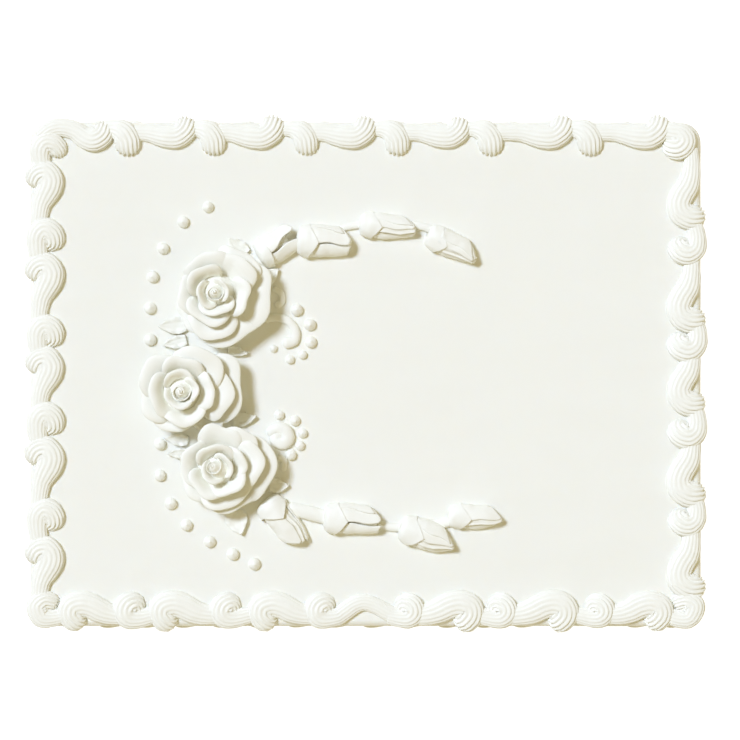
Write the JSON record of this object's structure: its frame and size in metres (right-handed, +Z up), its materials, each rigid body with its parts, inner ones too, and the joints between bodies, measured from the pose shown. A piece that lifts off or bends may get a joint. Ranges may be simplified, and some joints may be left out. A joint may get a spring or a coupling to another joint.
{
  "type": "sheet cake",
  "caption": "Rectangular iced sheet cake with piped shell borders at top and foot, a cluster of cream roses, sprays of rosebuds, leaves, scrolls and dots.",
  "frame": {"origin": "middle of the cake's flat underside, where it rests", "axes": "+X along the cake's long side, to the right of the picture; +Y to the back long side, up in the picture; +Z up"},
  "size_m": [0.4198, 0.3188, 0.0918],
  "materials": {
    "icing": "smooth spread cream icing, satin",
    "piping": "piped cream icing, satin"
  },
  "bodies": {
    "root": {"cake_body": "icing", "border_left": "piping", "border_right": "piping", "border_back": "piping", "border_front": "piping", "foot_front": "piping", "foot_right": "piping", "foot_back": "piping", "foot_left": "piping", "rose_back": "piping", "rose_middle": "piping", "rose_front": "piping", "bud_back_1": "piping", "bud_back_2": "piping", "bud_back_3": "piping", "bud_back_4": "piping", "bud_front_1": "piping", "bud_front_2": "piping", "bud_front_3": "piping", "bud_front_4": "piping", "vine_back_1": "piping", "vine_back_2": "piping", "vine_front_1": "piping", "vine_front_2": "piping", "vine_front_3": "piping", "scroll_back": "piping", "scroll_back_small": "piping", "scroll_front": "piping", "scroll_front_small": "piping", "leaf_1": "piping", "leaf_2": "piping", "leaf_3": "piping", "leaf_4": "piping", "leaf_5": "piping", "leaf_6": "piping", "leaf_7": "piping", "leaf_8": "piping", "leaf_9": "piping", "leaf_10": "piping"}
  },
  "joints": []
}
